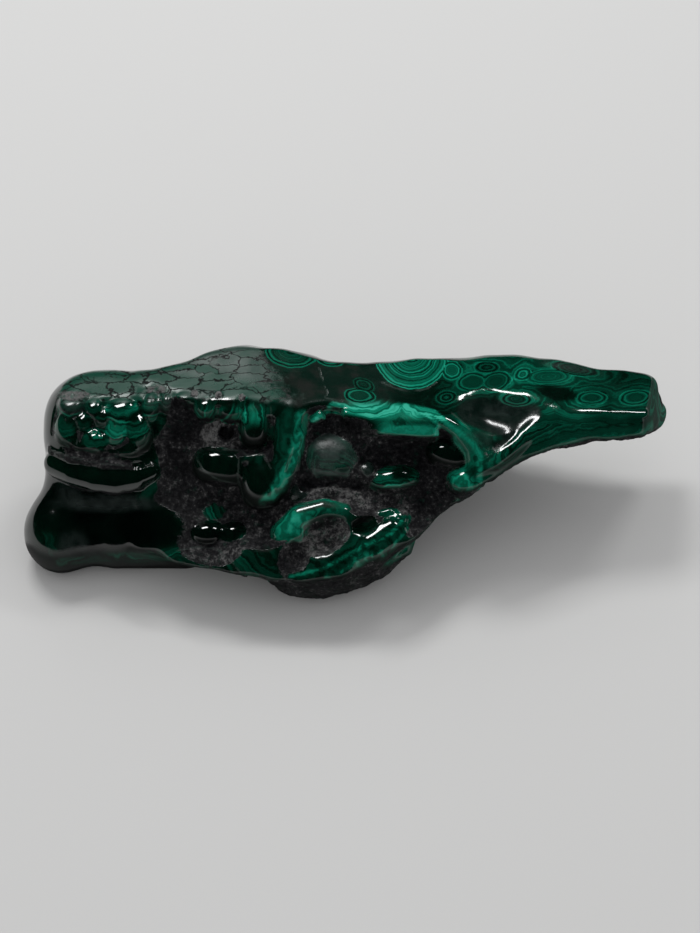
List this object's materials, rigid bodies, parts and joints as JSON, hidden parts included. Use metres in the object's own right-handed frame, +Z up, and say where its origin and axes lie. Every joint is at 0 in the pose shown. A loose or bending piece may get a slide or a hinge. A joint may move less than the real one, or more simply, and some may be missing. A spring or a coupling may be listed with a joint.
{
  "type": "malachite specimen",
  "caption": "Polished free-form malachite: a broad left lobe and claw, a valley-carved face, and a tapering neck on the right.",
  "frame": {"origin": "on the flat base the stone lies on, under the middle of its length", "axes": "+X along the stone's length towards the narrow neck, +Y from the carved front towards the back, +Z up from the base"},
  "size_m": [0.1903, 0.0723, 0.0495],
  "materials": {
    "malachite": "polished dark green banded stone with dull black-grey matrix in the hollows"
  },
  "bodies": {
    "root": {"malachite_stone": "malachite"}
  },
  "joints": []
}
